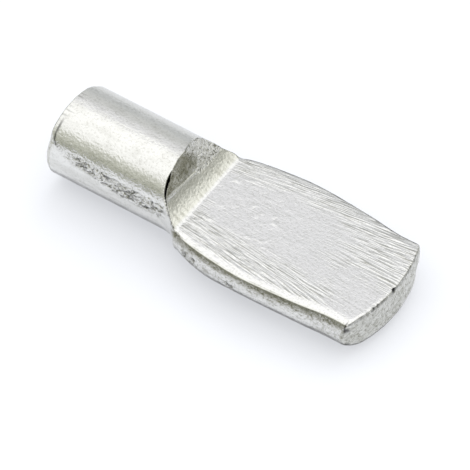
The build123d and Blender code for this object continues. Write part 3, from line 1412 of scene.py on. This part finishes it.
def feed(tree: bpy.types.ShaderNodeTree, value: Value, socket: bpy.types.NodeSocket) -> None:
    """Links a value to a socket, or sets it there where it is a plain number or colour.

    Args:
        tree: the node tree.
        value: output of another node, or a plain number or colour.
        socket: the socket that needs it.
    """
    if isinstance(value, bpy.types.NodeSocket):
        tree.links.new(value, socket)
    else:
        socket.default_value = value


def place_of(group: bpy.types.ShaderNodeTree) -> bpy.types.NodeSocket:
    """Place of the shaded point on the pin, in metres."""
    return group.nodes.new("ShaderNodeTexCoord").outputs["Object"]


def mask_of(group: bpy.types.ShaderNodeTree, name: str) -> bpy.types.NodeSocket:
    """Socket that reads one of the skin's masks in a group.

    Args:
        group: the group that needs it.
        name: name of the mask.

    Returns:
        The mask's value.
    """
    node = group.nodes.new("ShaderNodeAttribute")
    node.attribute_name = name
    return node.outputs["Fac"]


def noise_of(group: bpy.types.ShaderNodeTree, place: bpy.types.NodeSocket, scale: Value,
             detail: float, distortion: float = 0.0) -> bpy.types.NodeSocket:
    """Smooth noise, mostly between 0.3 and 0.7.

    Args:
        group: the group that needs it.
        place: where the noise is read.
        scale: its swells for each unit of place.
        detail: how many halved swells are added.
        distortion: how far the swells are bent.

    Returns:
        The value of the noise.
    """
    node = group.nodes.new("ShaderNodeTexNoise")
    for name, value in (("Vector", place), ("Scale", scale), ("Detail", detail),
                        ("Distortion", distortion)):
        feed(group, value, node.inputs[name])
    return node.outputs["Fac"]


def weigh(group: bpy.types.ShaderNodeTree, value: Value, weight: Value,
          total: Value = 0.0) -> bpy.types.NodeSocket:
    """Adds a value times its weight to a running total.

    Args:
        group: the group that does it.
        value: what is weighed.
        weight: its weight.
        total: the total so far.

    Returns:
        The new total.
    """
    node = group.nodes.new("ShaderNodeMath")
    node.operation = "MULTIPLY_ADD"
    for term, socket in zip((value, weight, total), node.inputs):
        feed(group, term, socket)
    return node.outputs["Value"]


def grade(tree: bpy.types.ShaderNodeTree, value: Value, start: float, end: float,
          results: tuple[Value, Value] = (0.0, 1.0), kind: str = "SMOOTHSTEP") -> bpy.types.NodeSocket:
    """Runs from one result to another while a value runs from start to end.

    Args:
        tree: the node tree that does it.
        value: the value that is graded.
        start: value that gives the first result.
        end: value that gives the second.
        results: both results.
        kind: how it runs between them.

    Returns:
        The result.
    """
    node = tree.nodes.new("ShaderNodeMapRange")
    node.interpolation_type = kind
    for name, number in (("Value", value), ("From Min", start), ("From Max", end),
                         ("To Min", results[0]), ("To Max", results[1])):
        feed(tree, number, node.inputs[name])
    return node.outputs["Result"]


def blend_tone(tree: bpy.types.ShaderNodeTree, share: bpy.types.NodeSocket, start: Value,
               end: Value) -> bpy.types.NodeSocket:
    """Runs from one colour to another.

    Args:
        tree: the node tree that does it.
        share: how far to go.
        start: colour at 0.
        end: colour at 1.

    Returns:
        The blended colour.
    """
    mix = tree.nodes.new("ShaderNodeMix")
    mix.data_type = "RGBA"
    for name, value in (("Factor", share), ("A", start), ("B", end)):
        feed(tree, value, mix.inputs[name])
    return mix.outputs["Result"]


def plate_tone() -> bpy.types.ShaderNodeTree:
    """Builds the effect that clouds the nickel at random and paints shade on it: olive in the hollows of
    the marks and where the mask says, black in folds, pits, nicks and along edges.

    Returns:
        The node group, which puts out the colour of the plate.
    """
    group, given, made = new_group(
        "plate_tone",
        {"Bright": ("NodeSocketColor", (0.8, 0.8, 0.78, 1.0)),
         "Clouded": ("NodeSocketColor", (0.7, 0.7, 0.68, 1.0)),
         "Cloud scale": ("NodeSocketFloat", 600.0),
         "Shade": ("NodeSocketFloat", 0.0),
         "Shade depth": ("NodeSocketFloat", 0.4)},
        {"Color": "NodeSocketColor"})
    cloud = noise_of(group, place_of(group), given["Cloud scale"], 3.0)
    tone = blend_tone(group, cloud, given["Clouded"], given["Bright"])
    # Olive painted shade, from the hollows of the marks and the mask of tarnish and shade
    dimmed = weigh(group, given["Shade"], given["Shade depth"], mask_of(group, "tarnish_and_shade"))
    tone = blend_tone(group, dimmed, tone, TARNISH_AND_SHADE_TONE)
    # Black painted shade in folds, pits, nicks and along edges
    tone = blend_tone(group, mask_of(group, "painted_shade"), tone, PAINTED_SHADE_TONE)
    group.links.new(tone, made["Color"])
    return group


def tumbled_sheen() -> bpy.types.ShaderNodeTree:
    """Builds the effect that varies the sheen in small patches and adds what the relief left dull.

    Returns:
        The node group, which puts out the roughness of the plate.
    """
    group, given, made = new_group(
        "tumbled_sheen",
        {"Smooth": ("NodeSocketFloat", 0.2),
         "Rough": ("NodeSocketFloat", 0.35),
         "Patch scale": ("NodeSocketFloat", 1500.0)},
        {"Roughness": "NodeSocketFloat"})
    patch = noise_of(group, place_of(group), given["Patch scale"], 4.0)
    sheen = grade(group, patch, 0.0, 1.0, (given["Smooth"], given["Rough"]), "LINEAR")
    group.links.new(weigh(group, mask_of(group, "dull"), DULL_GAIN, sheen), made["Roughness"])
    return group


def low_parts(group: bpy.types.ShaderNodeTree, noise: bpy.types.NodeSocket) -> bpy.types.NodeSocket:
    """Mask of the hollows of a noise, 0 on the rest."""
    return grade(group, noise, 0.49, 0.32)


def fine_marks() -> bpy.types.ShaderNodeTree:
    """Builds the effect of hairlines along the flow of the metal, torn skin and a fine even grain.

    Returns:
        The node group, which puts out a height and the painted shade of its hollows.
    """
    group, given, made = new_group(
        "fine_marks",
        {"Lines": ("NodeSocketFloat", 1.0),
         "Grain": ("NodeSocketFloat", 1.0),
         "Grain scale": ("NodeSocketFloat", 8000.0),
         "Tear": ("NodeSocketFloat", 19.0)},
        {"Height": "NodeSocketFloat", "Shade": "NodeSocketFloat"})
    link = group.links.new
    place = place_of(group)
    lined, torn = mask_of(group, "lined"), mask_of(group, "torn")
    apart = group.nodes.new("ShaderNodeSeparateXYZ")
    flow = group.nodes.new("ShaderNodeCombineXYZ")
    link(place, apart.inputs["Vector"])
    link(weigh(group, apart.outputs["X"], HAIR_ALONG), flow.inputs["X"])
    link(weigh(group, mask_of(group, "lane"), HAIR_ACROSS), flow.inputs["Y"])
    hair = noise_of(group, flow.outputs["Vector"], 1.0, 1.0)
    grain = noise_of(group, place, given["Grain scale"], 2.0)
    tear = noise_of(group, place, TEAR_SCALE, 2.0, 0.8)

    # Less half of its share, each masked noise leaves no step at the border of its mask
    height = weigh(group, grain, given["Grain"])
    for noise, strength, mask in ((hair, given["Lines"], lined), (tear, given["Tear"], torn)):
        share = weigh(group, strength, mask)
        height = weigh(group, noise, share, height)
        height = weigh(group, share, -0.5, height)

    # Painted shade in the hollows of the grain, the hairlines and the torn skin
    shade = weigh(group, low_parts(group, grain), GRAIN_SHADE)
    shade = weigh(group, low_parts(group, hair), lined, shade)
    shade = weigh(group, low_parts(group, tear), weigh(group, torn, TEAR_SHADE), shade)
    link(height, made["Height"])
    link(shade, made["Shade"])
    return group


@dataclass(frozen=True)
class PlatingGroups:
    """The three effects that every finish of the plating shares.

    Attributes:
        tone: colour of the plate.
        sheen: its roughness.
        marks: its fine relief, and how far the hollows are dimmed.
    """

    tone: bpy.types.ShaderNodeTree
    sheen: bpy.types.ShaderNodeTree
    marks: bpy.types.ShaderNodeTree


@dataclass(frozen=True)
class NickelFinish:
    """Nickel plate over one kind of surface.

    Attributes:
        name: name of the material.
        bright: tone of the clean plate.
        clouded: tone of its clouds.
        smooth: lowest roughness.
        rough: highest roughness.
        lines: strength of the hairlines.
        grain: strength of the fine grain.
        shade: how dark the painted shade in hollows and marks is.
        bump: height of the bump, in millimetres.
    """

    name: str
    bright: tuple[float, float, float]
    clouded: tuple[float, float, float]
    smooth: float
    rough: float
    lines: float
    grain: float
    shade: float
    bump: float

    def material(self, groups: PlatingGroups) -> bpy.types.Material:
        """Builds the material.

        Args:
            groups: the shared effects.

        Returns:
            The material of this finish.
        """
        made = bpy.data.materials.new(self.name)
        made.use_nodes = True
        nodes, link = made.node_tree.nodes, made.node_tree.links.new
        nodes.clear()
        out = nodes.new("ShaderNodeOutputMaterial")
        plate = nodes.new("ShaderNodeBsdfPrincipled")
        plate.inputs["Metallic"].default_value = 1.0
        tone, sheen, marks = (nodes.new("ShaderNodeGroup") for _ in range(3))
        tone.node_tree, sheen.node_tree, marks.node_tree = groups.tone, groups.sheen, groups.marks
        tone.inputs["Bright"].default_value = (*self.bright, 1.0)
        tone.inputs["Clouded"].default_value = (*self.clouded, 1.0)
        tone.inputs["Shade depth"].default_value = self.shade
        sheen.inputs["Smooth"].default_value = self.smooth
        sheen.inputs["Rough"].default_value = self.rough
        marks.inputs["Lines"].default_value = self.lines
        marks.inputs["Grain"].default_value = self.grain
        bump = nodes.new("ShaderNodeBump")
        bump.inputs["Distance"].default_value = self.bump * MM
        link(marks.outputs["Shade"], tone.inputs["Shade"])
        link(tone.outputs["Color"], plate.inputs["Base Color"])
        link(sheen.outputs["Roughness"], plate.inputs["Roughness"])
        link(marks.outputs["Height"], bump.inputs["Height"])
        link(bump.outputs["Normal"], plate.inputs["Normal"])
        link(plate.outputs["BSDF"], out.inputs["Surface"])
        return made


FINISHES = {
    Zone.DRAWN: NickelFinish(
        "drawn_nickel", bright=(0.80, 0.80, 0.78), clouded=(0.74, 0.74, 0.72),
        smooth=0.14, rough=0.24, lines=0.3, grain=3.1, shade=0.56, bump=0.006),
    Zone.PRESSED: NickelFinish(
        "pressed_nickel", bright=(0.80, 0.80, 0.79), clouded=(0.75, 0.75, 0.74),
        smooth=0.15, rough=0.25, lines=6.2, grain=1.7, shade=0.50, bump=0.009),
    Zone.SHEARED: NickelFinish(
        "sheared_nickel", bright=(0.77, 0.77, 0.74), clouded=(0.64, 0.64, 0.61),
        smooth=0.30, rough=0.46, lines=0.2, grain=4.8, shade=1.00, bump=0.015),
}


# Studio

@dataclass(frozen=True)
class Panel:
    """Soft patch of light or shade on the tent around the pin.

    Attributes:
        azimuth: degrees from +X towards +Y.
        elevation: degrees above the floor.
        inner: degrees from its middle within which it is full.
        outer: degrees from its middle at which it has faded.
        tone: its colour and strength.
    """

    azimuth: float
    elevation: float
    inner: float
    outer: float
    tone: tuple[float, float, float]

    def direction(self) -> tuple[float, float, float]:
        """Unit vector to the middle of the panel."""
        a, e = math.radians(self.azimuth), math.radians(self.elevation)
        return (math.cos(a) * math.cos(e), math.sin(a) * math.cos(e), math.sin(e))


@dataclass(frozen=True)
class Belt:
    """Level of the tent all the way round.

    Attributes:
        height: sine of its elevation.
        tone: its colour and strength.
    """

    height: float
    tone: tuple[float, float, float]


@dataclass
class LightTent:
    """White tent round the pin, open at the horizon, where the dark room shows in the plating.

    Attributes:
        belts: levels of the tent, from below the sheet to the top.
        panels: patches that lie over them, in the order in which they are laid.
    """

    belts: tuple[Belt, ...] = (
        Belt(-1.0, (1.0, 1.0, 1.04)),
        Belt(-0.06, (1.0, 1.0, 1.04)),
        Belt(0.02, (0.207, 0.211, 0.173)),
        Belt(0.12, (0.500, 0.509, 0.423)),
        Belt(0.45, (0.707, 0.716, 0.638)),
        Belt(0.66, (1.225, 1.225, 1.208)),
        Belt(1.0, (1.380, 1.380, 1.363)),
    )
    panels: tuple[Panel, ...] = (
        Panel(124.0, 48.0, 7.0, 19.0, (0.975, 0.975, 1.009)),
        Panel(110.0, 24.0, 12.0, 30.0, (0.730, 0.739, 0.735)),
        Panel(107.0, 4.0, 10.0, 22.0, (0.621, 0.638, 0.647)),
        Panel(272.0, 9.0, 8.0, 22.0, (0.293, 0.298, 0.259)),
        Panel(36.0, 34.0, 8.0, 18.0, (1.225, 1.225, 1.121)),
        Panel(34.0, 12.0, 4.0, 13.0, (0.475, 0.480, 0.435)),
    )

    def build(self) -> None:
        """Makes the world that lights the pin and shows in it."""
        world = bpy.data.worlds.new("light_tent")
        bpy.context.scene.world = world
        world.use_nodes = True
        tree = world.node_tree
        tree.nodes.clear()
        out = tree.nodes.new("ShaderNodeOutputWorld")
        sky = tree.nodes.new("ShaderNodeBackground")
        direction = tree.nodes.new("ShaderNodeTexCoord").outputs["Generated"]
        apart = tree.nodes.new("ShaderNodeSeparateXYZ")
        tree.links.new(direction, apart.inputs["Vector"])
        colour = self.belt_tone(tree, apart.outputs["Z"])
        for panel in self.panels:
            facing = tree.nodes.new("ShaderNodeVectorMath")
            facing.operation = "DOT_PRODUCT"
            facing.inputs[1].default_value = panel.direction()
            tree.links.new(direction, facing.inputs[0])
            borders = [math.cos(math.radians(angle)) for angle in (panel.outer, panel.inner)]
            fade = grade(tree, facing.outputs["Value"], *borders)
            colour = blend_tone(tree, fade, colour, (*panel.tone, 1.0))
        tree.links.new(colour, sky.inputs["Color"])
        tree.links.new(sky.outputs["Background"], out.inputs["Surface"])

    def belt_tone(self, tree: bpy.types.ShaderNodeTree,
                  height: bpy.types.NodeSocket) -> bpy.types.NodeSocket:
        """Runs through the tones of the belts.

        Args:
            tree: node tree of the world.
            height: sine of the elevation.

        Returns:
            The tone at that height.
        """
        level = grade(tree, height, -1.0, 1.0, kind="LINEAR")
        round_tent = tree.nodes.new("ShaderNodeValToRGB")
        strip = round_tent.color_ramp
        strip.interpolation = "EASE"
        while len(strip.elements) < len(self.belts):
            strip.elements.new(0.5)
        for element, belt in zip(strip.elements, self.belts):
            element.position = (belt.height + 1.0) / 2.0
            element.color = (*belt.tone, 1.0)
        tree.links.new(level, round_tent.inputs["Fac"])
        return round_tent.outputs["Color"]


@dataclass
class Lamp:
    """Broad lamp that lights the sheet and throws the pin's soft shadow.

    Attributes:
        name: name of the lamp.
        azimuth: degrees from +X towards +Y.
        elevation: degrees above the floor.
        breadth: degrees that the lamp spans.
        strength: its strength on a sheet that faces it.
        casts_shadow: whether the pin keeps it off the sheet.
    """

    name: str
    azimuth: float
    elevation: float
    breadth: float
    strength: float
    casts_shadow: bool = True

    def build(self) -> bpy.types.Object:
        """Hangs the lamp, which the plating doesn't mirror.

        Returns:
            The lamp.
        """
        data = bpy.data.lights.new(self.name, "SUN")
        data.energy = self.strength
        data.angle = math.radians(self.breadth)
        data.use_shadow = self.casts_shadow
        lamp = bpy.data.objects.new(self.name, data)
        lamp.rotation_euler = (0.0, math.radians(90.0 - self.elevation), math.radians(self.azimuth))
        lamp.visible_glossy = False
        bpy.context.scene.collection.objects.link(lamp)
        return lamp


LAMPS = (
    Lamp("back_lamp", 95.0, 52.0, 48.0, 0.60),
    Lamp("front_lamp", 245.0, 60.0, 60.0, 0.42),
    Lamp("fill_lamp", 0.0, 90.0, 10.0, 3.25, False),
)


@dataclass
class Floor:
    """White sheet that the pin lies on.

    Attributes:
        size: length of its sides, in metres.
        tone: its colour.
        roughness: its roughness.
    """

    size: float = 4.0
    tone: tuple[float, float, float] = (0.441, 0.448, 0.472)
    roughness: float = 0.9

    def build(self, height: float) -> bpy.types.Object:
        """Lays the sheet.

        Args:
            height: height of the sheet, in metres.

        Returns:
            The sheet.
        """
        half = self.size / 2
        corners = [(x * half, y * half, height) for x, y in ((-1, -1), (1, -1), (1, 1), (-1, 1))]
        mesh = bpy.data.meshes.new("floor")
        mesh.from_pydata(corners, [], [(0, 1, 2, 3)])
        paper = bpy.data.materials.new("white_paper")
        paper.use_nodes = True
        shader = paper.node_tree.nodes["Principled BSDF"]
        shader.inputs["Base Color"].default_value = (*self.tone, 1.0)
        shader.inputs["Roughness"].default_value = self.roughness
        shader.inputs["Specular IOR Level"].default_value = 0.0
        mesh.materials.append(paper)
        sheet = bpy.data.objects.new("floor", mesh)
        bpy.context.scene.collection.objects.link(sheet)
        return sheet


@dataclass
class PhotoCamera:
    """Camera at the photograph's place, in millimetres and degrees.

    Attributes:
        azimuth: degrees round the pin, 0 looking along +Y.
        elevation: degrees above the floor.
        roll: degrees about the line of sight.
        distance: from the origin.
        scale: pixels of the picture for each millimetre at the origin.
        frame_pixels: width of the picture.
        aside: how far the line of sight passes the origin, right and up.
        sensor_width: width of the sensor.
    """

    azimuth: float = 34.107
    elevation: float = 49.947
    roll: float = -0.043
    distance: float = 302.2
    scale: float = 19.959
    frame_pixels: float = 470.0
    aside: tuple[float, float] = (2.512, -2.534)
    sensor_width: float = 36.0

    def build(self) -> None:
        """Makes the camera and gives it to the scene."""
        a, e = math.radians(self.azimuth), math.radians(self.elevation)
        back = Vector((math.sin(a) * math.cos(e), -math.cos(a) * math.cos(e), math.sin(e)))
        right = Vector((math.cos(a), math.sin(a), 0.0))
        up = back.cross(right)
        turn = Matrix.Rotation(math.radians(self.roll), 3, back)
        right, up = turn @ right, turn @ up
        place = right * self.aside[0] + up * self.aside[1] + back * self.distance
        data = bpy.data.cameras.new("photo_camera")
        data.sensor_width = self.sensor_width
        data.lens = self.scale * self.distance * self.sensor_width / self.frame_pixels
        camera = bpy.data.objects.new("photo_camera", data)
        axes = Matrix((right, up, back)).transposed().to_4x4()
        camera.matrix_world = Matrix.Translation(place * MM) @ axes
        bpy.context.scene.collection.objects.link(camera)
        bpy.context.scene.camera = camera


def main() -> None:
    """Builds the studio and the pin, and reports each piece."""
    logging.basicConfig(level=logging.INFO, format="%(name)s: %(message)s")
    bpy.context.scene.view_settings.view_transform = "Standard"
    PhotoCamera().build()
    LightTent().build()
    for lamp in LAMPS:
        lamp.build()
    Floor().build(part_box("shelf_pin")[0].z)
    groups = PlatingGroups(plate_tone(), tumbled_sheen(), fine_marks())
    materials = {zone: finish.material(groups) for zone, finish in FINISHES.items()}
    pin = PlatedPin()
    piece = pin.build(materials)
    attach(piece, pin.body)
    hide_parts(pin.node)
    log.info("%s: %d points, %d faces", piece.name, len(piece.data.vertices), len(piece.data.polygons))


if __name__ == "__main__":
    main()
